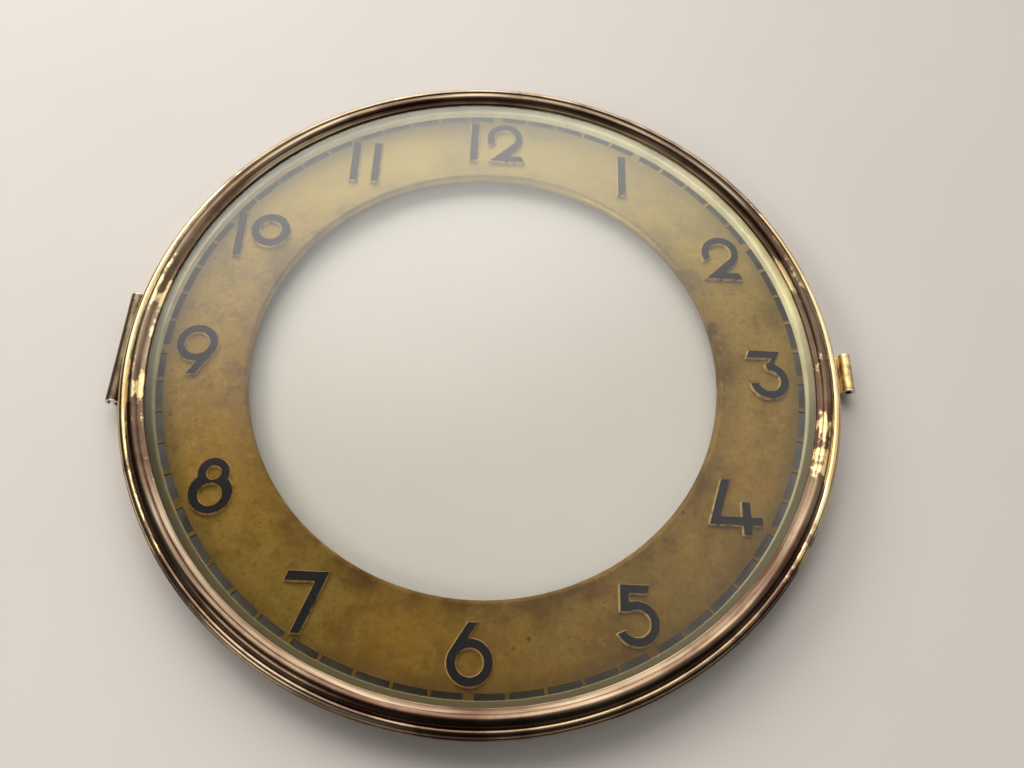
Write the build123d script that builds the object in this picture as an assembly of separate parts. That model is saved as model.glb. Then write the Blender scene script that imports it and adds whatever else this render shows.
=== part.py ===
from build123d import *
import os
from math import atan2, cos, degrees, radians, sin

# Hinged brass bezel of a ship's clock, with its glass, its slip ring, its pierced brass chapter
# ring and its applied numerals. Millimetres. +Z points at the viewer, +Y at twelve o'clock, and
# the origin is the centre of the rim's rear face.

# ---- rim: a turned ring -------------------------------------------------------------------------
skirt_r = 87.1          # outside of the plain side
bead_out = 0.5          # how far the outer bead stands beyond the side
rebate_wall = 1.7       # side wall beside the rear rebate
rebate_depth = 1.8      # the clock case enters the rebate this far
seat_wall = 3.5         # wall outside the bore that holds glass, slip and dial
lip_overhang = 2.4      # the lip reaches this far in over the glass
lip_thickness = 0.6     # lip at the sight edge
lip_edge_r = 0.3        # roundness of the sight edge
crest_height = 0.75     # the crest stands this far above the lip
crest_at = 0.3          # radius of the crest beyond the bore
slope_width = 1.3       # the flat of the lip is this wide, and the crest's slope begins beyond it
slope_rise = 0.22       # the slope begins this far above the lip
groove_at = 1.85        # radius of the turned groove beyond the bore
groove_drop = 0.45      # the turned groove's bottom is this far below the lip
bead_drop = 1.8         # the bead's middle is this far below the lip
foot_break = 0.25       # chamfer at the foot of the side
groove_shelf = 0.8      # wall between the rear rebate and the spring ring's groove
groove_depth = 0.8      # radial depth of that groove
groove_play = 0.05      # the groove is higher than the spring ring by this much

# ---- stack inside the rim, from the rear --------------------------------------------------------
ring_thickness = 1.0    # split spring ring, along Z
ring_reach = 1.1        # it reaches this far in under the dial
ring_gap_deg = 9.0      # opening of the split ring
dial_thickness = 0.7
slip_thickness = 2.3    # slip ring, along Z
slip_width = 3.8        # slip ring, radial
glass_thickness = 1.5
glass_break = 0.2       # chamfer round the glass's edges
stack_play = 0.15       # glass, slip and dial are smaller in radius than their bore by this much

# ---- chapter ring -------------------------------------------------------------------------------
track_cover = 0.45      # the slip ring covers this much of the minute windows
track_width = 2.1       # radial length of a minute window
face_width = 19.9       # from the minute windows to the central opening
edge_bend_r = 1.2       # outer radius of the rolled inner edge
edge_drop = 2.0         # the rolled edge reaches this far below the dial's face
minute_bar = 0.85       # bar between two windows
hour_bar = 2.4          # bar at each fifth minute
minutes = 60

# ---- numerals -----------------------------------------------------------------------------------
numeral_height = 14.0
numeral_margin = 1.0    # from the numerals' circle to the minute windows
numeral_rise = 0.8      # thickness of the raised figures
numeral_bevel = 0.3     # the top is smaller than the foot all round by this much
foot_r = 0.5            # riveted foot under a numeral
foot_play = 0.05
foot_head_r = 0.9
foot_head_h = 0.3
design_height = 14.0    # the figures below are drawn at this height

# ---- hinge knuckle at three o'clock -------------------------------------------------------------
barrel_bore_r = 0.8
barrel_wall = 0.75
barrel_length = 10.2
barrel_standoff = 4.5   # barrel axis to the rim's side
barrel_z = 2.8          # height of the barrel's axis
knuckle_offset = 3.4    # the knuckle's middle is this far above the three o'clock line
leaf_thickness = 0.8
leaf_foot_z = 0.7       # lowest edge of the leaf
leaf_play = 0.02
rivet_r = 0.6
rivet_play = 0.03
rivet_sink = 1.4        # rivet's depth in the rim
rivet_head_r = 1.0
rivet_head_h = 0.45
rivet_head_round = 0.8  # part of the head's height that is rounded
hinge_rivet_z = 3.1
hinge_rivet_pitch = 5.6

# ---- catch at nine o'clock ----------------------------------------------------------------------
catch_length = 29.8
catch_shift = 0.1       # the strip's middle is this far above the nine o'clock line
catch_plate_t = 0.5
catch_roll_r = 1.15     # inside radius of the strip's rolled edge
catch_z = 4.1           # height of the roll's axis
catch_foot_z = 1.2      # lowest edge of the strip
catch_leaf_t = 0.45
catch_bead_play = 0.08  # running clearance of the leaf's bead in the roll
catch_leaf_end = 0.5    # the leaf is shorter than the strip at each end by this much
catch_leaf_set = 0.5    # the leaf hangs this far in from the tangent of its bead
catch_toe = 0.35        # the toe stands out from the leaf by this much
catch_head_h = 0.25     # low rivet heads, so that the leaf can swing in over them
catch_rivet_z = 2.5
catch_rivet_pitch = 9.0

# ---- derived radii ------------------------------------------------------------------------------
bead_r = skirt_r + bead_out
rebate_r = skirt_r - rebate_wall
seat_r = skirt_r - seat_wall
sight_r = seat_r - lip_overhang
stack_r = seat_r - stack_play
groove_r = seat_r + groove_depth
ring_outer_r = groove_r - 2 * groove_play
ring_inner_r = seat_r - ring_reach
slip_inner_r = stack_r - slip_width
track_outer_r = slip_inner_r + track_cover
track_inner_r = track_outer_r - track_width
opening_r = track_inner_r - face_width
numeral_circle_r = track_inner_r - numeral_margin - numeral_height / 2

# ---- derived heights ----------------------------------------------------------------------------
ring_z = rebate_depth + groove_shelf
dial_rear_z = ring_z + ring_thickness
dial_face_z = dial_rear_z + dial_thickness
glass_rear_z = dial_face_z + slip_thickness
lip_rear_z = glass_rear_z + glass_thickness
lip_face_z = lip_rear_z + lip_thickness
crest_z = lip_face_z + crest_height


def turned(outline):
    """Solid of revolution about Z of a closed outline drawn as (radius, height)."""
    return revolve(Plane.XZ * make_face(outline), Axis.Z)


def disc_ring(outer_r, inner_r, low_z, high_z):
    """Flat ring with square edges."""
    plate = Cylinder(outer_r, high_z - low_z, align=(Align.CENTER, Align.CENTER, Align.MIN))
    hole = Cylinder(inner_r, high_z - low_z, align=(Align.CENTER, Align.CENTER, Align.MIN))
    return Pos(0, 0, low_z) * (plate - hole)


def block(x0, x1, y0, y1, z0, z1):
    """Box between two corners."""
    size = (x1 - x0, y1 - y0, z1 - z0)
    return Pos((x0 + x1) / 2, (y0 + y1) / 2, (z0 + z1) / 2) * Box(*size)


def rod_x(radius, x0, x1):
    """Round rod along X, between two stations."""
    rod = Cylinder(radius, x1 - x0)
    return Pos((x0 + x1) / 2, 0, 0) * (Rot(0, 90, 0) * rod)


def rod_y(radius, y0, y1, x, z):
    """Round rod along Y, through (x, z)."""
    rod = Cylinder(radius, y1 - y0)
    return Pos(x, (y0 + y1) / 2, z) * (Rot(90, 0, 0) * rod)


# ---- fasteners ----------------------------------------------------------------------------------
def rivet(seat, head_h):
    """Round-headed rivet along X: its head sits at x = seat, its shank runs inwards."""
    length = seat - skirt_r + rivet_sink
    shank = Cylinder(rivet_r, length, align=(Align.CENTER, Align.CENTER, Align.MAX))
    head = Cylinder(rivet_head_r, head_h, align=(Align.CENTER, Align.CENTER, Align.MIN))
    head = fillet(head.edges().group_by(Axis.Z)[-1], rivet_head_round * head_h)
    return Pos(seat, 0, 0) * (Rot(0, 90, 0) * (shank + head))


def rivet_hole():
    """Cutter for the holes that a rivet's shank enters, in the rim and in the sheet."""
    return rod_x(rivet_r + rivet_play, skirt_r - rivet_sink, bead_r + rivet_head_h + leaf_thickness)


def hinge_places():
    """Rivet places of the knuckle's leaf: on the rim's side, square to it."""
    for step in (-0.5, 0.5):
        along = knuckle_offset + step * hinge_rivet_pitch
        yield Rot(0, 0, along / radians(1) / skirt_r) * Pos(0, 0, hinge_rivet_z)


def catch_places():
    """Rivet places of the flat catch plate, parallel to X."""
    for step in (-0.5, 0.5):
        yield Rot(0, 0, 180) * Pos(0, step * catch_rivet_pitch, catch_rivet_z)


# ---- rim ----------------------------------------------------------------------------------------
def bezel_rim():
    """Turned ring: plain side, outer bead, groove, rounded crest, and a lip over the glass."""
    bead_z = lip_face_z - bead_drop
    valley = (seat_r + groove_at, lip_face_z - groove_drop)
    crest_top = (seat_r + crest_at, crest_z)
    slope_foot = (sight_r + slope_width, lip_face_z + slope_rise)
    bead_foot = (skirt_r, bead_z - bead_out)
    bead_middle = (bead_r, bead_z)
    bead_top = (bead_r - 0.7 * bead_out, bead_z + 1.2 * bead_out)
    step_middle = (bead_r - 1.5 * bead_out, valley[1] + 0.2 * bead_out)
    lip_middle = (sight_r + 1.8 * lip_edge_r, lip_face_z)
    edge_top = (sight_r + 0.7 * lip_edge_r, lip_face_z - 0.2 * lip_edge_r)
    edge_middle = (sight_r + 0.2 * lip_edge_r, lip_face_z - 0.5 * lip_edge_r)
    edge_foot = (sight_r, lip_face_z - lip_edge_r)
    side = Polyline((rebate_r, 0), (skirt_r - foot_break, 0), (skirt_r, foot_break), bead_foot)
    bead = ThreePointArc(bead_foot, bead_middle, bead_top)
    step = ThreePointArc(bead_top, step_middle, valley)
    crest = ThreePointArc(valley, crest_top, slope_foot)
    lip = ThreePointArc(slope_foot, lip_middle, edge_top)
    edge = ThreePointArc(edge_top, edge_middle, edge_foot)
    bore = Polyline(
        edge_foot,
        (sight_r, lip_rear_z),
        (seat_r, lip_rear_z),
        (seat_r, dial_rear_z + groove_play),
        (groove_r, dial_rear_z + groove_play),
        (groove_r, ring_z),
        (seat_r, ring_z),
        (seat_r, rebate_depth),
        (rebate_r, rebate_depth),
        (rebate_r, 0),
    )
    rim = turned(side + bead + step + crest + lip + edge + bore)
    for place in list(hinge_places()) + list(catch_places()):
        rim -= place * rivet_hole()
    return rim


# ---- glass, slip and spring ring ----------------------------------------------------------------
def glass_pane():
    """Flat round glass, its edges broken by a small chamfer."""
    pane = Cylinder(stack_r, glass_thickness, align=(Align.CENTER, Align.CENTER, Align.MIN))
    return chamfer((Pos(0, 0, glass_rear_z) * pane).edges(), glass_break)


def slip_ring():
    """Plain ring that keeps the glass off the dial."""
    return disc_ring(stack_r, slip_inner_r, dial_face_z, glass_rear_z)


def retaining_ring():
    """Split spring ring in the rim's groove, its opening at six o'clock."""
    ring = disc_ring(ring_outer_r, ring_inner_r, ring_z, dial_rear_z)
    half_gap = ring_outer_r * sin(radians(ring_gap_deg / 2))
    return ring - block(-half_gap, half_gap, -skirt_r, 0, 0, glass_rear_z)


# ---- chapter ring -------------------------------------------------------------------------------
def track_windows():
    """The sixty windows of the minute track, as one cutter."""
    track = Circle(track_outer_r) - Circle(track_inner_r)
    middle = (track_outer_r + track_inner_r) / 2
    for minute in range(minutes):
        width = hour_bar if minute % 5 == 0 else minute_bar
        bar = Pos(middle, 0) * Rectangle(2 * track_width, width)
        track -= Rot(0, 0, 90 - 6 * minute) * bar
    return Pos(0, 0, dial_rear_z) * extrude(track, dial_thickness)


def dial_ring(feet):
    """Pressed ring: flat face, inner edge rolled to the rear, minute windows, numeral holes."""
    bend_at = opening_r + edge_bend_r
    bend_z = dial_face_z - edge_bend_r
    inner_bend = edge_bend_r - dial_thickness
    inner_r = bend_at - inner_bend
    low_z = dial_face_z - edge_drop
    s = sin(radians(45))
    face = Polyline(
        (bend_at, dial_face_z),
        (stack_r, dial_face_z),
        (stack_r, dial_rear_z),
        (bend_at, dial_rear_z),
    )
    inside = ThreePointArc(
        (bend_at, dial_rear_z),
        (bend_at - inner_bend * s, bend_z + inner_bend * s),
        (inner_r, bend_z),
    )
    drop = Polyline((inner_r, bend_z), (inner_r, low_z), (opening_r, low_z), (opening_r, bend_z))
    outside = ThreePointArc(
        (opening_r, bend_z),
        (bend_at - edge_bend_r * s, bend_z + edge_bend_r * s),
        (bend_at, dial_face_z),
    )
    plate = turned(face + inside + drop + outside)
    plate -= track_windows()
    hole = Cylinder(foot_r + foot_play, 4 * dial_thickness)
    return plate - [Pos(x, y, dial_rear_z) * hole for x, y in feet]


# ---- figures ------------------------------------------------------------------------------------
def patch(*points):
    """Flat face with straight sides, facing up whichever way its corners run."""
    ends = points[1:] + points[:1]
    turn = sum(a[0] * b[1] - b[0] * a[1] for a, b in zip(points, ends))
    return make_face(Polyline(*(points if turn > 0 else points[::-1]), close=True))


def round_band(x, y, outer_r, inner_r):
    """Flat ring: the bowl of a figure."""
    return Pos(x, y) * (Circle(outer_r) - Circle(inner_r))


def open_band(x, y, outer_r, inner_r, start, end):
    """Flat ring without the sector that runs from start to end, in degrees."""
    far = 2.5 * outer_r
    middle = (start + end) / 2
    corners = [(x + far * cos(radians(a)), y + far * sin(radians(a))) for a in (start, middle, end)]
    return round_band(x, y, outer_r, inner_r) - patch((x, y), *corners)


def figure_1():
    return Rectangle(2.6, 13.6)


def figure_2():
    bowl = open_band(0.2, 1.5, 5.2, 2.75, 214, 324)
    heel = [(1.9, -4.4), (1.0, -6.8), (-4.4, -6.8), (2.3, -0.2)]
    stem = patch((2.1, 0.3), (4.75, -1.0), (4.41, -1.56), *heel)
    foot = patch((-4.4, -6.8), (6.2, -6.8), (5.1, -4.4), (0, -4.4))
    return bowl + stem + foot


def figure_3():
    bowl = open_band(0.4, -1.75, 5.1, 2.6, 100, 188)
    top = patch((-4.4, 6.8), (3.9, 6.8), (2.7, 4.3), (-5.2, 4.3))
    stem = patch((1.0, 4.4), (3.9, 6.8), (2.2, 3.0), (0.6, 1.2), (-0.7, 1.6))
    return bowl + top + stem


def figure_4():
    slope = patch((-3.0, 6.9), (-0.4, 6.9), (-3.9, -4.7), (-6.5, -4.7))
    bar = patch((-6.5, -4.7), (6.5, -4.7), (6.5, -2.2), (-5.7, -2.2))
    upright = patch((1.4, -7.0), (3.9, -7.0), (3.9, 1.4), (1.4, 1.4))
    return slope + bar + upright


def figure_5():
    bowl = open_band(0.1, -1.8, 5.2, 2.8, 125, 205)
    upright = patch((-3.9, 7.0), (-1.4, 7.0), (-1.4, 0.5), (-3.9, 0.5))
    top = patch((-3.9, 7.0), (3.3, 7.0), (2.7, 4.6), (-3.9, 4.6))
    return bowl + upright + top


def figure_6():
    stem = patch((-0.7, 7.0), (2.0, 7.0), (-1.27, 1.5), (-3.0, 0.2), (-4.31, 0.93))
    return round_band(0.2, -1.75, 5.25, 2.8) + stem


def figure_7():
    return patch((-4.4, 7.0), (5.2, 7.0), (0.1, -7.0), (-2.5, -7.0), (1.6, 4.3), (-5.3, 4.3))


def figure_8():
    upper_y, upper_r = 3.1, 3.9
    lower_y, lower_r = -1.75, 5.25
    apart = upper_y - lower_y
    rise = (apart ** 2 + lower_r ** 2 - upper_r ** 2) / (2 * apart)
    waist_x = (lower_r ** 2 - rise ** 2) ** 0.5
    waist_y = lower_y + rise
    top = ThreePointArc((waist_x, waist_y), (0, upper_y + upper_r), (-waist_x, waist_y))
    bottom = ThreePointArc((-waist_x, waist_y), (0, lower_y - lower_r), (waist_x, waist_y))
    upper_hole = Pos(0, upper_y) * Circle(1.5)
    lower_hole = Pos(0, lower_y - 0.45) * Circle(2.5)
    return make_face(top + bottom) - upper_hole - lower_hole


def figure_9():
    return Rot(0, 0, 180) * figure_6()


def figure_0():
    return round_band(0, 0, 5.3, 2.65)


# each figure's drawing, and the two places of its riveted feet, on the 14 mm drawing
FIGURES = {
    "0": (figure_0, [(0, 3.97), (0, -3.97)]),
    "1": (figure_1, [(0, 4.5), (0, -4.5)]),
    "2": (figure_2, [(0.2, 5.47), (1.5, -5.6)]),
    "3": (figure_3, [(-2.0, 5.55), (0.4, -5.6)]),
    "4": (figure_4, [(-2.9, 3.0), (2.65, -3.4)]),
    "5": (figure_5, [(-2.65, 5.8), (0.1, -5.8)]),
    "6": (figure_6, [(-0.54, 5.0), (0.2, -5.78)]),
    "7": (figure_7, [(-2.5, 5.65), (-0.3, -4.5)]),
    "8": (figure_8, [(0, 5.8), (0, -5.8)]),
    "9": (figure_9, [(0.54, -5.0), (-0.2, 5.78)]),
}

# figures of the two-figure hours: (figure, sideways shift, height shift)
PAIRS = {
    10: [("1", -5.4, -0.3), ("0", 2.3, 1.4)],
    11: [("1", -2.9, 0), ("1", 2.9, 0)],
    12: [("1", -6.3, 0), ("2", 2.0, 0)],
}

# the numerals were set by eye: how far each sits from its true place
SET_BY_EYE = {
    3: (0.4, 0.8),
    4: (-1.0, 0.8),
    5: (1.0, 0.3),
    6: (-0.3, 0),
    7: (-1.8, 0.2),
    8: (-0.6, 0.1),
    9: (-0.9, 0),
    11: (-0.8, 0.2),
}


def numeral_figures(hour):
    """Yield (figure, x, y) for each figure of an hour numeral, on the dial."""
    angle = radians(90 - 30 * hour)
    nudge_x, nudge_y = SET_BY_EYE.get(hour, (0, 0))
    x = numeral_circle_r * cos(angle) + nudge_x
    y = numeral_circle_r * sin(angle) + nudge_y
    grow = numeral_height / design_height
    for name, shift_x, shift_y in PAIRS.get(hour, [(str(hour), 0, 0)]):
        yield name, x + shift_x * grow, y + shift_y * grow


def foot_places(hour):
    """Places of an hour numeral's riveted feet, on the dial."""
    grow = numeral_height / design_height
    places = []
    for name, x, y in numeral_figures(hour):
        places += [(x + foot_x * grow, y + foot_y * grow) for foot_x, foot_y in FIGURES[name][1]]
    return places


def bevelled(drawing):
    """Raised figure whose sides slope inwards to its top, outside and in its holes."""
    slope = degrees(atan2(numeral_bevel, numeral_rise))
    outline = drawing.face()
    body = extrude(Face(outline.outer_wire()), numeral_rise, taper=slope)
    for hole in outline.inner_wires():
        body -= extrude(Face(hole), numeral_rise, dir=(0, 0, 1), taper=-slope)
    return body


def numeral(hour):
    """Raised figures with a bevelled edge, and riveted feet through the dial."""
    grow = numeral_height / design_height
    foot = Cylinder(foot_r, dial_thickness, align=(Align.CENTER, Align.CENTER, Align.MIN))
    head = Cylinder(foot_head_r, foot_head_h, align=(Align.CENTER, Align.CENTER, Align.MAX))
    solids = []
    for name, x, y in numeral_figures(hour):
        drawing, feet = FIGURES[name]
        body = Pos(x, y, dial_face_z) * bevelled(scale(drawing(), grow))
        for foot_x, foot_y in feet:
            place = Pos(x + foot_x * grow, y + foot_y * grow, dial_rear_z)
            body += place * foot
            body += place * head
        solids.extend(body.solids())
    return solids


# ---- hinge knuckle ------------------------------------------------------------------------------
def hinge_knuckle():
    """Sheet leaf on the rim's side, a web near its foot, and a rolled barrel for the hinge pin."""
    barrel_r = barrel_bore_r + barrel_wall
    barrel_x = skirt_r + barrel_standoff
    low_y = knuckle_offset - barrel_length / 2
    high_y = knuckle_offset + barrel_length / 2
    leaf_high = barrel_z + barrel_r
    leaf_r = skirt_r + leaf_play
    leaf = disc_ring(leaf_r + leaf_thickness, leaf_r, leaf_foot_z, leaf_high)
    leaf = leaf & block(0, 2 * skirt_r, low_y, high_y, 0, leaf_high)
    web_low = barrel_z - barrel_r
    web = block(skirt_r - 1, barrel_x, low_y, high_y, web_low, web_low + barrel_wall)
    web -= disc_ring(leaf_r, 1, 0, leaf_high)
    barrel = rod_y(barrel_r, low_y, high_y, barrel_x, barrel_z)
    knuckle = leaf + web + barrel - rod_y(barrel_bore_r, low_y, high_y, barrel_x, barrel_z)
    for place in hinge_places():
        knuckle -= place * rivet_hole()
    return knuckle


def hinge_rivets():
    """Two rivets through the knuckle's leaf into the rim."""
    seat = skirt_r + leaf_play + leaf_thickness
    return [place * rivet(seat, rivet_head_h) for place in hinge_places()]


# ---- catch --------------------------------------------------------------------------------------
catch_low_y = catch_shift - catch_length / 2
catch_high_y = catch_shift + catch_length / 2
catch_face_x = -(skirt_r + leaf_play)
catch_axis_x = catch_face_x - catch_plate_t - catch_roll_r


def catch_plate():
    """Straight strip against the rim's side, its upper edge rolled over outwards."""
    roll_r = catch_roll_r + catch_plate_t
    roll = rod_y(roll_r, catch_low_y, catch_high_y, catch_axis_x, catch_z)
    roll -= rod_y(catch_roll_r, catch_low_y, catch_high_y, catch_axis_x, catch_z)
    mouth_x = catch_axis_x + catch_roll_r
    roll -= block(catch_axis_x - 0.5 * roll_r, mouth_x, catch_low_y, catch_high_y, 0, catch_z)
    roll -= block(catch_axis_x - roll_r, mouth_x, catch_low_y, catch_high_y, 0, catch_z - 0.5 * roll_r)
    strip = block(mouth_x, catch_face_x, catch_low_y, catch_high_y, catch_foot_z, catch_z)
    plate = strip + roll
    for place in catch_places():
        plate -= place * rivet_hole()
    return plate


def catch_rivets():
    """Two rivets through the catch plate into the rim."""
    seat = skirt_r + leaf_play + catch_plate_t
    return [place * rivet(seat, catch_head_h) for place in catch_places()]


def catch_spring():
    """Spring leaf that hangs in the strip's roll by its bead, with a small toe at its foot."""
    bead_radius = catch_roll_r - catch_bead_play
    low_y = catch_low_y + catch_leaf_end
    high_y = catch_high_y - catch_leaf_end
    bead = rod_y(bead_radius, low_y, high_y, catch_axis_x, catch_z)
    inner_x = catch_axis_x - bead_radius + catch_leaf_t + catch_leaf_set
    outer_x = inner_x - catch_leaf_t
    leaf = block(outer_x, inner_x, low_y, high_y, catch_foot_z, catch_z)
    toe_x = outer_x - catch_toe
    toe = block(toe_x, inner_x, low_y, high_y, catch_foot_z - catch_leaf_t, catch_foot_z)
    return bead + leaf + toe


# ---- write the parts ----------------------------------------------------------------------------
def write(name, shape):
    """One STEP file for one node; a list becomes a group of separate solids."""
    whole = Compound([item.solid() for item in shape]) if isinstance(shape, list) else shape
    export_step(whole, "parts/" + name + ".step")


os.makedirs("parts", exist_ok=True)
hours = range(1, 13)
write("bezel_rim", bezel_rim())
write("glass_pane", glass_pane())
write("slip_ring", slip_ring())
write("retaining_ring", retaining_ring())
write("dial_ring", dial_ring([place for hour in hours for place in foot_places(hour)]))
for hour in hours:
    write("numeral_" + str(hour), numeral(hour))
write("hinge_knuckle", hinge_knuckle())
write("hinge_rivets", hinge_rivets())
write("catch_plate", catch_plate())
write("catch_rivets", catch_rivets())
write("catch_spring", catch_spring())
print("glass from", round(glass_rear_z, 2), "to", round(lip_rear_z, 2), "crest", round(crest_z, 2))
print("dial face", round(dial_face_z, 2), "opening radius", round(opening_r, 2))
print("catch axis x", round(catch_axis_x, 3), "z", catch_z, "barrel x", skirt_r + barrel_standoff)
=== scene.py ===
import bpy
import math
import numpy as np
from mathutils import Matrix, Vector


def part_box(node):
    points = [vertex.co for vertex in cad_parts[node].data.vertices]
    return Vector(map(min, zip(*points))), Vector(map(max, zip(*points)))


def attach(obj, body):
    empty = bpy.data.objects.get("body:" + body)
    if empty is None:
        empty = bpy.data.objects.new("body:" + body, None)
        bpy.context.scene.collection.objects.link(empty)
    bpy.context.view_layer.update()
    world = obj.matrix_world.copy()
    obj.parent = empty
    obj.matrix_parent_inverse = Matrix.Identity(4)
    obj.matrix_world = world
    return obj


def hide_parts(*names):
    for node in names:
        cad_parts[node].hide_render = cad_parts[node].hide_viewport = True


# %% [markdown]
# # A ship's clock bezel, made in Blender
#
# The object is the hinged front of a ship's clock: a turned brass rim, a flat glass, and a
# pressed brass chapter ring with raised black numerals. It lies face up on a pale table.
# The design comes in as a fixed frame of named nodes. Everything below gives that frame its
# looks, and never moves it.

# %% Load the frame
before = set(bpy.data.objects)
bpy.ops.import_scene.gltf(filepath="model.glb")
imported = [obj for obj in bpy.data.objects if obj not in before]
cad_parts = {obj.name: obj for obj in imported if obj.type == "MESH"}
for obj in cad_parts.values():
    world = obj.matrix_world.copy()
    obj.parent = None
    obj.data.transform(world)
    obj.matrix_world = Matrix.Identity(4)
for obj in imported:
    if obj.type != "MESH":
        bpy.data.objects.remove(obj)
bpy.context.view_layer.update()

# %% [markdown]
# ## Real sizes
#
# A texture looks right when its grain has its real size, so the script works in metres and
# reads the sizes of the pieces from the frame. One millimetre has a name, because most of the
# detail on brass is smaller than that.

# %% Real sizes
MM = 0.001
rim_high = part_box("bezel_rim")[1]
glass_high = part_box("glass_pane")[1]
slip_low, slip_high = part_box("slip_ring")
rim_r, rim_z = rim_high.x, rim_high.z
glass_r, glass_top_z = glass_high.x, glass_high.z
dial_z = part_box("dial_ring")[1].z
print("in mm: rim radius", round(rim_r / MM, 2), "dial face", round(dial_z / MM, 2))

# %% [markdown]
# ## Shader maths as expressions
#
# A node tree is a formula. One small class wraps a socket, so that a formula can be written
# as Python: an expression on it adds the Math nodes. The same class makes any other node.


# %% A wire that carries a value
class Wire:
    """A value in a material's node tree. Arithmetic on it adds Math nodes."""

    def __init__(self, tree, socket):
        self.tree = tree
        self.socket = socket

    def math(self, operation, first, second=0.0):
        return add_node(self.tree, "Math", {"operation": operation}, {0: first, 1: second})

    def __add__(self, other):
        return self.math("ADD", self, other)

    def __radd__(self, other):
        return self.math("ADD", other, self)

    def __sub__(self, other):
        return self.math("SUBTRACT", self, other)

    def __rsub__(self, other):
        return self.math("SUBTRACT", other, self)

    def __mul__(self, other):
        return self.math("MULTIPLY", self, other)

    def __rmul__(self, other):
        return self.math("MULTIPLY", other, self)

    def __truediv__(self, other):
        return self.math("DIVIDE", self, other)

    def __pow__(self, other):
        return self.math("POWER", self, other)

    def step(self, low, high):
        """0 below low, 1 above high, and a smooth rise between them."""
        settings = {"interpolation_type": "SMOOTHSTEP"}
        inputs = {"Value": self, "From Min": low, "From Max": high}
        return add_node(self.tree, "MapRange", settings, inputs)


def add_node(tree, kind, settings=None, inputs=None, output=0):
    """Add one node: its settings first, then the values or links of its sockets."""
    made = tree.nodes.new("ShaderNode" + kind)
    for name, value in (settings or {}).items():
        setattr(made, name, value)
    for name, value in (inputs or {}).items():
        if isinstance(value, Wire):
            tree.links.new(value.socket, made.inputs[name])
        else:
            made.inputs[name].default_value = value
    return Wire(tree, made.outputs[output])


# %% [markdown]
# ## One helper for a surface
#
# Every finish starts from the same three things: the place on the piece, cloudy noise at a
# real size, and a Principled shader. Object coordinates are metres here, so a noise of size
# s has the scale 1 / s.


# %% A surface finish
class Finish:
    """One material: a Principled shader, and wires for the place on the piece."""

    def __init__(self, name, **values):
        self.material = bpy.data.materials.new(name)
        self.material.use_nodes = True
        self.tree = self.material.node_tree
        self.shader = self.tree.nodes["Principled BSDF"]
        for key, value in values.items():
            self.shader.inputs[key.replace("_", " ")].default_value = value
        self.place = self.node("TexCoord", output=3)
        self.x = self.node("SeparateXYZ", None, {0: self.place}, 0)
        self.y = self.node("SeparateXYZ", None, {0: self.place}, 1)
        self.z = self.node("SeparateXYZ", None, {0: self.place}, 2)
        self.radius = (self.x * self.x + self.y * self.y) ** 0.5

    def node(self, kind, settings=None, inputs=None, output=0):
        return add_node(self.tree, kind, settings, inputs, output)

    def clouds(self, size, detail=4.0, rough=0.55, shift=0.0, place=None):
        """Cloudy noise from 0 to 1 whose blobs are about size across."""
        inputs = {"Vector": place or self.place, "W": shift, "Scale": 1 / size}
        inputs.update({"Detail": detail, "Roughness": rough})
        return self.node("TexNoise", {"noise_dimensions": "4D"}, inputs)

    def spots(self, size, shift=0.0):
        """Distance to the nearest of scattered points about size apart, 0 at a point and
        counted in sizes."""
        place = self.node("VectorMath", {"operation": "ADD"}, {0: self.place, 1: (shift, shift, 0)})
        return self.node("TexVoronoi", None, {"Vector": place, "Scale": 1 / size, "Randomness": 1.0})

    def turned_place(self, along, across):
        """Coordinates stretched round the axis, for the marks that turning and rubbing leave.
        along is a mark's length and across its width: x/r and y/r in lengths of a mark at the
        rim's radius, then r + z in widths."""
        east = self.x / self.radius * (rim_r / along)
        north = self.y / self.radius * (rim_r / along)
        out = (self.radius + self.z) / across
        return self.node("CombineXYZ", None, {0: east, 1: north, 2: out})

    def mix(self, first, second, factor):
        """Colour between first and second by factor, which is held to 0 to 1."""
        settings = {"data_type": "RGBA", "clamp_factor": True}
        return self.node("Mix", settings, {0: factor, 6: first, 7: second}, 2)

    def bump(self, height, depth, before=None):
        """Normal of a relief: height from 0 to 1 stands for depth metres."""
        inputs = {"Height": height, "Distance": depth, "Strength": 1.0}
        if before is not None:
            inputs["Normal"] = before
        return self.node("Bump", None, inputs)

    def feed(self, **wires):
        """Link wires to the shader's sockets, such as Base_Color=wire."""
        for key, wire in wires.items():
            self.tree.links.new(wire.socket, self.shader.inputs[key.replace("_", " ")])
        return self.material


def rgb(red, green, blue):
    """Colour of a paint chip, given in 0 to 255 as seen, as the linear colour that shaders use."""
    seen = np.array([red, green, blue]) / 255
    linear = np.where(seen <= 0.04045, seen / 12.92, ((seen + 0.055) / 1.055) ** 2.4)
    return (*linear.tolist(), 1.0)


def paint(name, material):
    """Give a node or piece this one material."""
    piece = bpy.data.objects[name]
    piece.data.materials.clear()
    piece.data.materials.append(material)


# %% [markdown]
# ## Turned pieces as surfaces
#
# A turned ring is a profile carried round a circle. It could come from the Screw modifier or
# from bmesh.ops.spin, but a grid of numbers is shorter and exact: one axis of the grid is the
# profile, the other is the angle. A fine grid matters on polished brass, because every facet
# would show as a break in a highlight.


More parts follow.
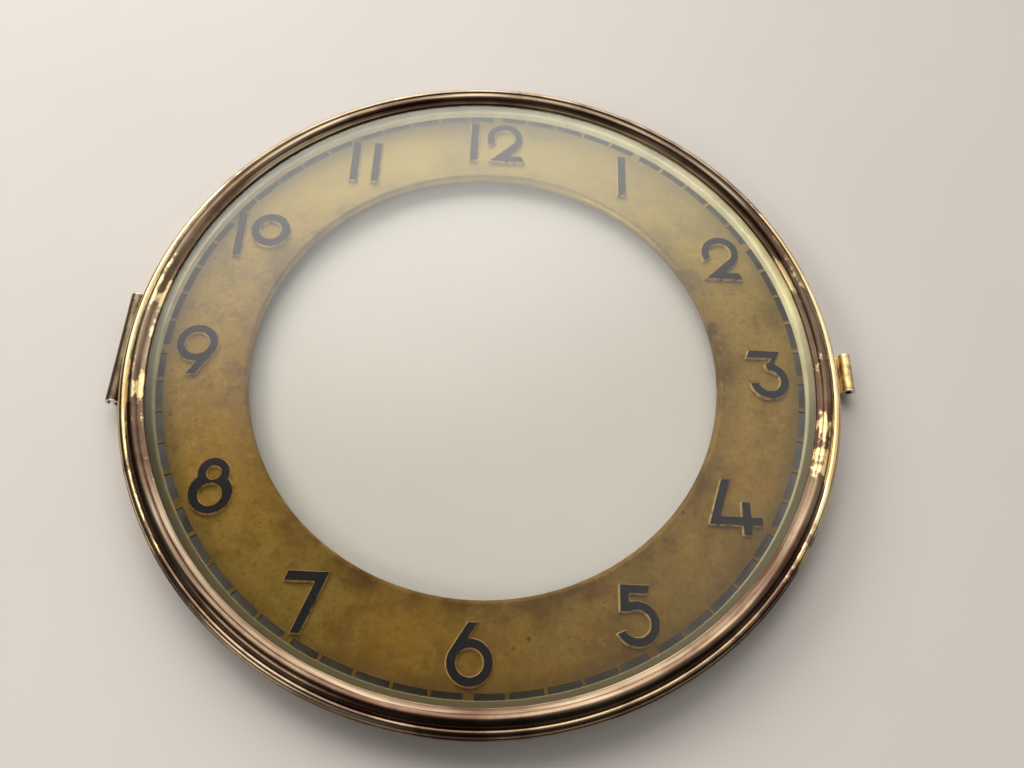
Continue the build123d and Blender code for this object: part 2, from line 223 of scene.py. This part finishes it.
# %% Carry a profile round the axis
def arc(start, middle, end, count):
    """Points of the circle through three points: centre from the perpendicular bisectors,
    then equal steps of angle from start to end on the side of middle."""
    a, b, c = (complex(*p) for p in (start, middle, end))
    w = (c - a) / (b - a)
    centre = (a - b) * (w - abs(w) ** 2) / (2j * w.imag) - a
    spokes = [p + centre for p in (a, b, c)]
    first = np.angle(spokes[1] / spokes[0])
    second = np.angle(spokes[2] / spokes[1])
    turn = np.linspace(0, first + second, count)
    points = spokes[0] * np.exp(1j * turn) - centre
    return list(zip(points.real.tolist(), points.imag.tolist()))


def ripple(angle, seed, waves=9):
    """Slow uneven wave round a circle, from -1 to 1: a sum of sines with 2 to waves + 1 periods
    each, and sines with more periods are mostly weaker."""
    rng = np.random.default_rng(seed)
    turns = np.arange(2, waves + 2)
    phase = rng.uniform(0, 2 * np.pi, waves)
    weight = rng.uniform(0.5, 1.0, waves) / turns ** 0.7
    wave = (weight * np.sin(angle[:, None] * turns + phase)).sum(1)
    return wave / weight.sum()


def lathe(name, profile, steps, uneven, seed):
    """Closed ring: (r, z) of the profile, in millimetres, carried round
    as (r cos a, r sin a, z). Each profile point wavers by its own amount in uneven, and by
    less in height than in radius."""
    r, z = np.array(profile).T * MM
    amount = np.array(uneven) * MM
    height_share = 0.6
    sharp_from = math.radians(38)
    a = np.arange(steps) * 2 * np.pi / steps
    radius = r + np.outer(ripple(a, seed), amount)
    height = z + height_share * np.outer(ripple(a, seed + 1), amount)
    points = np.stack([radius * np.cos(a)[:, None], radius * np.sin(a)[:, None], height], -1)
    count = len(r)
    i, j = np.meshgrid(np.arange(steps), np.arange(count), indexing="ij")
    here, ahead = i * count, (i + 1) % steps * count
    above = (j + 1) % count
    quads = np.stack([ahead + j, ahead + above, here + above, here + j], -1)
    mesh = bpy.data.meshes.new(name)
    mesh.from_pydata(points.reshape(-1, 3).tolist(), [], quads.reshape(-1, 4).tolist())
    mesh.update()
    mesh.shade_smooth()
    mesh.set_sharp_from_angle(angle=sharp_from)
    piece = bpy.data.objects.new(name, mesh)
    bpy.context.collection.objects.link(piece)
    print(name, "has", len(mesh.polygons), "faces")
    return piece


# %% [markdown]
# ## The rim's shape
#
# From the outside inwards, the rim has a plain side, a small bead, a turned groove, a rounded
# crest and a lip that lies over the glass. Seen along a highlight, the old rim isn't perfectly
# even: its crest and bead waver by less than a tenth of a millimetre, and the lathe call adds
# that. The rear, which fits the clock's case, stays true. A bevel modifier could round these
# edges, but a moulding is drawn as arcs by the turner, so it is drawn as arcs here.

# %% The rim
glass_play = 0.15       # between the glass and its seat
lip_cover = 2.4         # the lip hides this much of the glass
lip_t = 0.6             # thickness of the lip over the glass
bead_reach = 0.5        # the bead stands out from the side by this much
bead_drop = 1.8         # height of the lip above the bead
ring_groove_h = 1.05    # height of the retaining ring's groove
ring_groove_deep = 0.8
rebate_h = 1.8          # the case enters this far
skirt_t = 1.7           # wall round the case
waver_by = 0.09
seat = glass_r / MM + glass_play
crest_r = seat + 0.3
sight = seat - lip_cover
side_r = rim_r / MM - bead_reach
lip_z = glass_top_z / MM + lip_t
bead_z = lip_z - bead_drop
shelf_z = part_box("retaining_ring")[0].z / MM
groove_top = shelf_z + ring_groove_h
groove_r = seat + ring_groove_deep
rebate_r = side_r - skirt_t
bead_top = (side_r + 0.15, bead_z + 0.6)
outer_curve = arc((side_r, bead_z - 0.5), (side_r + bead_reach, bead_z), bead_top, 14)
outer_curve += arc(bead_top, (side_r - 0.25, lip_z - 0.35), (seat + 1.85, lip_z - 0.45), 12)[1:]
crest_curve = arc(outer_curve[-1], (crest_r, rim_z / MM), (sight + 1.3, lip_z + 0.22), 34)[1:]
lip_curve = arc(crest_curve[-1], (sight + 0.54, lip_z), (sight + 0.21, lip_z - 0.06), 14)[1:]
lip_curve += arc(lip_curve[-1], (sight + 0.06, lip_z - 0.15), (sight, lip_z - 0.3), 8)[1:]
glass_seat = [(sight, glass_top_z / MM), (seat, glass_top_z / MM)]
ring_groove = [(seat, groove_top), (groove_r, groove_top), (groove_r, shelf_z), (seat, shelf_z)]
rebate = [(seat, rebate_h), (rebate_r, rebate_h), (rebate_r, 0)]
rear = glass_seat + ring_groove + rebate
foot = [(side_r - 0.25, 0), (side_r, 0.25)]
rim_profile = outer_curve + crest_curve + lip_curve + rear + foot
shaped = len(outer_curve) + len(crest_curve)
waver = np.zeros(len(rim_profile))
waver[2:shaped] = waver_by
rim = lathe("bezel_rim_surface", rim_profile, 720, waver, 3)
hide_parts("bezel_rim")
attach(rim, "root")

# %% [markdown]
# ## The slip ring's shape
#
# Between the glass and the dial lies a plain brass ring that keeps them apart. Its upper inner
# edge is rounded off. The eye meets that edge as a pale line all round the dial, so it gets a
# real small radius here. A cylinder with a hole cut in it would leave the edge knife sharp.

# %% The slip ring
slip_in = 79.65         # inside radius
edge_r = 0.25           # rounding of the upper inner edge
edge_middle = 0.07      # how far the middle of that rounding lies from the sharp corner
slip_out = slip_high.x / MM
slip_low_z, slip_top_z = slip_low.z / MM, slip_high.z / MM
edge_start = (slip_in + edge_r, slip_top_z)
edge_mid = (slip_in + edge_middle, slip_top_z - edge_middle)
inner_edge = arc(edge_start, edge_mid, (slip_in, slip_top_z - edge_r), 6)
slip_profile = [(slip_out, slip_low_z), (slip_out, slip_top_z)] + inner_edge + [(slip_in, slip_low_z)]
slip = lathe("slip_ring_surface", slip_profile, 540, np.zeros(len(slip_profile)), 5)
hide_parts("slip_ring")
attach(slip, "root")


# %% [markdown]
# ## The dial's brass
#
# Old dial brass isn't one colour. It is satin metal that has browned in clouds, with small
# dark spots where damp got at it, and faint straight wiping marks. A darker band near both
# edges is painted shade. Its lower half is painted darker, as painted shade, and its upper half
# paler, as painted light. An image could carry all of that, but noise at each mark's real
# size stays sharp at any distance. Each mark is one term below.


# %% The dial's brass
def stretched(f, turn, scale):
    """Place on the piece, turned about the axis and scaled, for marks longer than wide."""
    return f.node("Mapping", None, {"Vector": f.place, "Rotation": (0, 0, turn), "Scale": scale})


def dial_brass():
    """Satin brass with clouds, grain, painted shade at the edges and towards six, painted light
    towards twelve, smears and dots, one mix for each.
    """
    f = Finish("dial_brass", Metallic=1.0, Roughness=0.4)
    r, y = f.radius / MM, f.y / MM
    cloud = f.clouds(38 * MM, 5, 0.6).step(0.35, 0.7)
    patch = f.clouds(9 * MM, 6, 0.65, 3.0).step(0.42, 0.66)
    colour = f.mix(rgb(196, 160, 80), rgb(168, 130, 58), cloud)
    colour = f.mix(colour, rgb(134, 102, 48), patch * 0.65)
    # grain: brown, pale and then dark, each finer than the clouds
    brown_grain = f.clouds(1.4 * MM, 5, 0.7, 7.0).step(0.48, 0.72)
    colour = f.mix(colour, rgb(112, 80, 40), brown_grain * 0.5)
    pale_grain = f.clouds(2.2 * MM, 6, 0.75, 14.0).step(0.52, 0.7)
    colour = f.mix(colour, rgb(216, 190, 120), pale_grain * 0.4)
    grit = f.clouds(0.45 * MM, 3, 0.6, 17.0).step(0.6, 0.72)
    colour = f.mix(colour, rgb(86, 58, 32), grit * 0.45)
    # painted shade: darker bands at the opening and at the minute track
    inner_edge_shade = 1 - r.step(58.5, 66.0)
    outer_edge_shade = r.step(73.5, 79.0)
    colour = f.mix(colour, rgb(104, 76, 46), inner_edge_shade * (0.35 + 0.5 * patch))
    colour = f.mix(colour, rgb(98, 84, 62), outer_edge_shade * (0.3 + 0.5 * cloud))
    # damp spots, in groups
    speck = 1 - f.spots(6.5 * MM, 0.3).step(0.03, 0.12)
    specked = f.clouds(22 * MM, 2, 0.5, 11.0).step(0.5, 0.62)
    colour = f.mix(colour, rgb(66, 42, 24), speck * specked * 0.85)
    # painted shade: browner towards six o'clock; painted light: yellower towards twelve
    near_side_shade = 1 - y.step(-80, 5)
    colour = f.mix(colour, rgb(104, 70, 28), near_side_shade * 0.42)
    colour = f.mix(colour, rgb(234, 218, 132), y.step(5, 78) * 0.48)
    # smears and pinprick dots
    smear = f.clouds(3.2 * MM, 6, 0.72, 8.0, stretched(f, 0.12, (0.3, 1.0, 1.0))).step(0.6, 0.72)
    smeared = f.clouds(26 * MM, 2, 0.5, 12.0).step(0.48, 0.62)
    colour = f.mix(colour, rgb(104, 66, 34), smear * smeared * 0.8)
    dot = 1 - f.spots(1.9 * MM, 0.7).step(0.03, 0.16)
    dotted = f.clouds(11 * MM, 3, 0.6, 5.0).step(0.46, 0.62)
    colour = f.mix(colour, rgb(84, 54, 28), dot * dotted * 0.75)
    # straight wiping marks
    wipe = f.clouds(12 * MM, 6, 0.7, 1.0, stretched(f, 0.35, (1.0, 14.0, 1.0)))
    rough = 0.33 + 0.16 * wipe + 0.14 * cloud + 0.2 * speck * specked
    relief = f.bump(wipe, 0.012 * MM)
    relief = f.bump(f.clouds(0.35 * MM, 3, 0.6, 2.0), 0.002 * MM, relief)
    return f.feed(Base_Color=colour, Roughness=rough, Normal=relief)


paint("dial_ring", dial_brass())
print("dial brass is on")

# %% [markdown]
# ## The rim's brass
#
# The rim was polished once. At the right and at the left it is golden in ragged patches: partly
# wear, and partly painted sheen where the rim mirrors the windows. Elsewhere it has tarnished to
# brown, and in towards the glass it gets painted shade. The streaks run round the axis, because
# the rim was turned and the later rubbing went that way, so their noise is stretched round the axis
# too.


# %% The rim's brass
def rim_brass():
    """Polished brass: worn is 1 where it is golden and 0 where it is brown; golden is partly wear and
    partly painted sheen, brown partly tarnish and partly painted shade.
    """
    f = Finish("rim_brass", Metallic=1.0, Roughness=0.25)
    streak = f.clouds(1.0, 2, 0.5, 0.0, f.turned_place(38 * MM, 2.4 * MM))
    blotch = f.clouds(17 * MM, 5, 0.62, 4.0).step(0.4, 0.62)
    ragged = f.clouds(4.5 * MM, 5, 0.68, 15.0)
    side = f.x / f.radius
    # painted sheen: golden towards the left and right, where the rim mirrors the windows
    side_sheen = (side * side).step(0.45, 0.98)
    # painted shade: darker in towards the glass, where the lip mirrors the dim room
    lip_shade = 1 - (f.radius / MM).step(crest_r + 1.2, crest_r + 2.2)
    uneven = (streak - 0.5) * 1.5 + (blotch - 0.5) * 0.5 + (ragged - 0.5) * 1.5
    # worn is ragged real wear, plus painted sheen at the sides and painted shade on the lip
    worn = (side_sheen * 1.1 - lip_shade * 0.6 + uneven).step(0.48, 0.72)
    tarnish = f.mix(rgb(146, 126, 100), rgb(86, 64, 52), blotch)
    # painted shade in towards the glass
    tarnish = f.mix(tarnish, rgb(70, 50, 40), lip_shade * 0.65)
    tarnish = f.mix(tarnish, rgb(188, 172, 144), streak.step(0.45, 0.75) * 0.5)
    golden = f.mix(rgb(232, 214, 170), rgb(190, 156, 102), blotch * 0.7)
    colour = f.mix(tarnish, golden, worn)
    stain = 1 - f.spots(7 * MM, 0.2).step(0.04, 0.2)
    stained = f.clouds(11 * MM, 3, 0.6, 9.0).step(0.5, 0.66)
    colour = f.mix(colour, rgb(62, 40, 28), stain * stained * 0.8)
    hairline = f.clouds(1.0, 3, 0.5, 2.0, f.turned_place(6 * MM, 0.16 * MM))
    rough = 0.15 + 0.07 * (1 - worn) + 0.08 * streak + 0.03 * hairline
    dents = f.clouds(1.0, 2, 0.5, 6.0, f.turned_place(30 * MM, 9 * MM))
    relief = f.bump(dents, 0.1 * MM, f.bump(hairline, 0.00025 * MM))
    return f.feed(Base_Color=colour, Roughness=rough, Normal=relief)


paint("bezel_rim_surface", rim_brass())
print("rim brass is on")

# %% [markdown]
# ## The slip ring's pale brass
#
# Shut in behind the glass, the slip ring kept a pale, almost cream face. Its lower half is
# painted darker as painted shade, most of all on the top face. The far half is what the eye
# sees as a bright band, so the painted shade fades out before it gets there.


# %% The slip ring's brass
def slip_brass():
    """Pale brass, hardly metallic any more, with painted shade where the ring lies nearest."""
    f = Finish("slip_brass", Metallic=0.15, Roughness=0.4)
    streak = f.clouds(1.0, 5, 0.6, 0.0, f.turned_place(14 * MM, 0.5 * MM))
    blotch = f.clouds(8 * MM, 4, 0.6, 2.0).step(0.4, 0.65)
    colour = f.mix(rgb(253, 246, 204), rgb(236, 222, 168), streak.step(0.4, 0.7))
    colour = f.mix(colour, rgb(170, 152, 104), blotch * 0.25)
    top_face = (f.z / MM).step(slip_top_z - 0.3, slip_top_z - 0.05)
    # painted shade: the near half darker, most of all on the top face
    near_half_shade = 1 - (f.y / MM).step(-30, 25)
    colour = f.mix(colour, rgb(86, 74, 50), top_face * near_half_shade)
    colour = f.mix(colour, rgb(130, 118, 80), near_half_shade * 0.6)
    rough = 0.3 + 0.2 * streak
    return f.feed(Base_Color=colour, Roughness=rough, Normal=f.bump(streak, 0.01 * MM))


paint("slip_ring_surface", slip_brass())
print("slip ring brass is on")

# %% [markdown]
# ## The numerals' black tops and brass bevels
#
# Each numeral is a flat black face with bevelled brass sides. Two materials on one mesh would
# need the faces sorted. The height above the dial tells top from bevel just as well: near its
# full rise a numeral turns from brass to black.


# %% The numerals' finish
def numeral_finish():
    """Black enamel above, brass below, with the border just under a numeral's full rise."""
    f = Finish("numeral_black_and_brass", Roughness=0.2, Specular_IOR_Level=0.35)
    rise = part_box("numeral_6")[1].z - dial_z
    top = (f.z - dial_z).step(0.9 * rise, 0.985 * rise)
    worn = f.clouds(2.5 * MM, 5, 0.65).step(0.58, 0.8)
    black = f.mix(rgb(26, 24, 26), rgb(52, 44, 40), worn)
    tarnish = f.clouds(1.6 * MM, 4, 0.6, 3.0).step(0.45, 0.7)
    brass = f.mix(rgb(214, 184, 120), rgb(112, 84, 48), tarnish)
    scratch = f.clouds(0.5 * MM, 4, 0.6, 5.0)
    colour = f.mix(brass, black, top)
    metal = 0.6 * (1 - top)
    rough = 0.2 + 0.2 * scratch
    relief = f.bump(scratch, 0.006 * MM)
    return f.feed(Base_Color=colour, Metallic=metal, Roughness=rough, Normal=relief)


numeral_material = numeral_finish()
for hour in range(1, 13):
    paint("numeral_" + str(hour), numeral_material)
print("twelve numerals are black and brass")

# %% [markdown]
# ## The hinge and the catch
#
# The hinge barrel and the spring strip are folded from sheet. They are blotched like the rim,
# but bare and bright where the sheet was cut, at both ends. Those ends lie at known places
# along y, so the bright metal is a term of y and needs no marking of faces.


# %% The sheet metal of the hinge and the catch
def sheet_metal(name, bright, dark, amount, cut):
    """Blotched sheet with dark dots, and bare metal at the two cut ends, given as y in mm."""
    f = Finish(name, Metallic=1.0, Roughness=0.3)
    y = f.y / MM
    blotch = f.clouds(3.2 * MM, 5, 0.65).step(0.38, 0.66)
    fine = f.clouds(0.5 * MM, 4, 0.6, 2.0)
    dots = 1 - f.spots(2.2 * MM, 0.4).step(0.05, 0.25)
    colour = f.mix(bright, dark, blotch * amount)
    colour = f.mix(colour, rgb(58, 40, 28), dots * 0.5)
    cut_low = 1 - y.step(cut[0] + 0.05, cut[0] + 0.3)
    cut_high = y.step(cut[1] - 0.3, cut[1] - 0.05)
    colour = f.mix(colour, rgb(236, 232, 224), (cut_low + cut_high) * 0.85)
    rough = 0.22 + 0.22 * fine + 0.1 * blotch
    return f.feed(Base_Color=colour, Roughness=rough, Normal=f.bump(fine, 0.012 * MM))


def ends(node):
    """Lowest and highest y of a node, in millimetres."""
    return [corner.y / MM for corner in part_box(node)]


hinge_ends, plate_ends, leaf_ends = ends("hinge_knuckle"), ends("catch_plate"), ends("catch_spring")
hinge_brass = sheet_metal("hinge_brass", rgb(232, 206, 146), rgb(140, 104, 78), 0.9, hinge_ends)
catch_brass = sheet_metal("catch_brass", rgb(128, 112, 88), rgb(84, 66, 50), 0.9, plate_ends)
spring_steel = sheet_metal("spring_steel", rgb(170, 164, 156), rgb(110, 102, 94), 0.7, leaf_ends)
paint("hinge_knuckle", hinge_brass)
paint("hinge_rivets", hinge_brass)
paint("catch_plate", catch_brass)
paint("catch_rivets", catch_brass)
paint("catch_spring", spring_steel)
paint("retaining_ring", spring_steel)
print("hinge is", round(hinge_ends[1] - hinge_ends[0], 1), "mm long")

# %% [markdown]
# ## The glass
#
# The pane is real refracting glass. A path tracer rarely finds a lamp along a bent ray, so the
# dial under such a pane would turn dark. For shadow rays only, the pane is plain transparent,
# with the small loss that real glass has.


# %% The glass
def clear_glass():
    """Refracting glass for the eye, and a nearly clear sheet for shadow rays."""
    f = Finish("window_glass", Roughness=0.0, IOR=1.52, Transmission_Weight=1.0)
    f.shader.inputs["Base Color"].default_value = (0.965, 0.975, 0.955, 1.0)
    pane = Wire(f.tree, f.shader.outputs[0])
    clear = f.node("BsdfTransparent", None, {"Color": (0.94, 0.95, 0.935, 1.0)})
    is_shadow_ray = f.node("LightPath", None, None, 1)
    both = f.node("MixShader", None, {0: is_shadow_ray, 1: pane, 2: clear})
    f.tree.links.new(both.socket, f.tree.nodes["Material Output"].inputs["Surface"])
    return f.material


paint("glass_pane", clear_glass())

# %% [markdown]
# ## The table
#
# The bezel lies on a pale table, which shows through the middle of the dial. The table is
# scenery and no piece of the clock. Broad faint clouds keep it from looking like empty
# background.

# %% The table
table_size = 3.0
bpy.ops.mesh.primitive_plane_add(size=table_size, location=(0, 0, 0))
table = bpy.context.object
table.name = "table_top"
table_finish = Finish("pale_table", Roughness=0.55)
grain = table_finish.clouds(60 * MM, 5, 0.6)
table_colour = table_finish.mix(rgb(196, 190, 184), rgb(189, 183, 176), grain)
table.data.materials.append(table_finish.feed(Base_Color=table_colour))
print("table is", table_size, "m wide")

# %% [markdown]
# ## The light
#
# Polished brass shows what stands round it more than it shows its own colour. So the room
# matters as much as the lamps. Two area lamps at the left stand in for windows, and the sky
# has two soft bright patches, one behind and one at the right, over a dim room. The lamps and
# the sky aren't seen through the glass, which would count their light twice.


# %% The light
def window(name, place, aim, width, height, power, colour):
    """Soft area light at place, facing aim, in metres and watts."""
    data = bpy.data.lights.new(name, "AREA")
    data.shape = "RECTANGLE"
    data.size = width
    data.size_y = height
    data.energy = power
    data.color = colour
    lamp = bpy.data.objects.new(name, data)
    bpy.context.collection.objects.link(lamp)
    lamp.location = place
    lamp.rotation_mode = "QUATERNION"
    lamp.rotation_quaternion = (Vector(aim) - Vector(place)).to_track_quat("-Z", "Y")
    return lamp


warm_day = (1.0, 0.97, 0.94)
pale_day = (1.0, 0.985, 0.96)
near_window = window("near_window", (-0.62, 0.36, 0.4), (-0.05, 0.05, 0.0), 0.5, 0.3, 4.2, warm_day)
near_window.visible_glossy = False
side_window = window("side_window", (-0.46, -0.4, 0.44), (-0.03, -0.02, 0.0), 0.3, 0.26, 1.2, pale_day)
for lamp in (near_window, side_window):
    lamp.visible_transmission = False

world = bpy.context.scene.world or bpy.data.worlds.new("room")
bpy.context.scene.world = world
world.use_nodes = True
world.cycles_visibility.transmission = False
room = world.node_tree
toward = add_node(room, "TexCoord", output=0)


def glow(azimuth, height, low, high):
    """Soft patch of light: 0 where the sky's direction is far from this one, 1 close to it.
    Its measure is the cosine of the angle between the two, the dot product."""
    a, h = math.radians(azimuth), math.radians(height)
    middle = (math.cos(h) * math.cos(a), math.cos(h) * math.sin(a), math.sin(h))
    near = add_node(room, "VectorMath", {"operation": "DOT_PRODUCT"}, {0: toward, 1: middle}, 1)
    return near.step(low, high)


dim_room = 0.035
light_behind = 5.2 * glow(102, 34, 0.80, 0.98)
light_right = 1.1 * glow(42, 44, 0.72, 0.98)
light_level = dim_room + light_behind + light_right
background = room.nodes["Background"]
background.inputs[0].default_value = (1.0, 0.975, 0.94, 1.0)
room.links.new(light_level.socket, background.inputs[1])
bpy.context.scene.view_settings.view_transform = "Standard"
print("two lamps and a sky are lit")

# %% [markdown]
# ## The camera
#
# The camera stands close above the near edge, so the near side looks larger than the far side.
# A long lens from far off would lose that. It also leans a little, as when held in the hand.
# The lean is a turn about the line of sight: right and up are mixed from the level pair.

# %% The camera
camera_place = Vector((1.4, -103.8, 205.7)) * MM
camera_aim = Vector((6.9, -2.6, 0.0)) * MM
camera_roll = math.radians(5.6)
camera_lens = 32.0
camera_film = 36.0
forward = (camera_aim - camera_place).normalized()
level = forward.cross(Vector((0, 0, 1))).normalized()
above = level.cross(forward)
right = level * math.cos(camera_roll) + above * math.sin(camera_roll)
up = above * math.cos(camera_roll) - level * math.sin(camera_roll)
camera_data = bpy.data.cameras.new("camera")
camera_data.lens = camera_lens
camera_data.sensor_width = camera_film
camera_data.clip_start = 0.01
camera = bpy.data.objects.new("camera", camera_data)
bpy.context.collection.objects.link(camera)
camera_turn = Matrix((right, up, -forward)).transposed().to_4x4()
camera.matrix_world = Matrix.Translation(camera_place) @ camera_turn
bpy.context.scene.camera = camera
print("camera is", round((camera_aim - camera_place).length / MM), "mm from its aim")
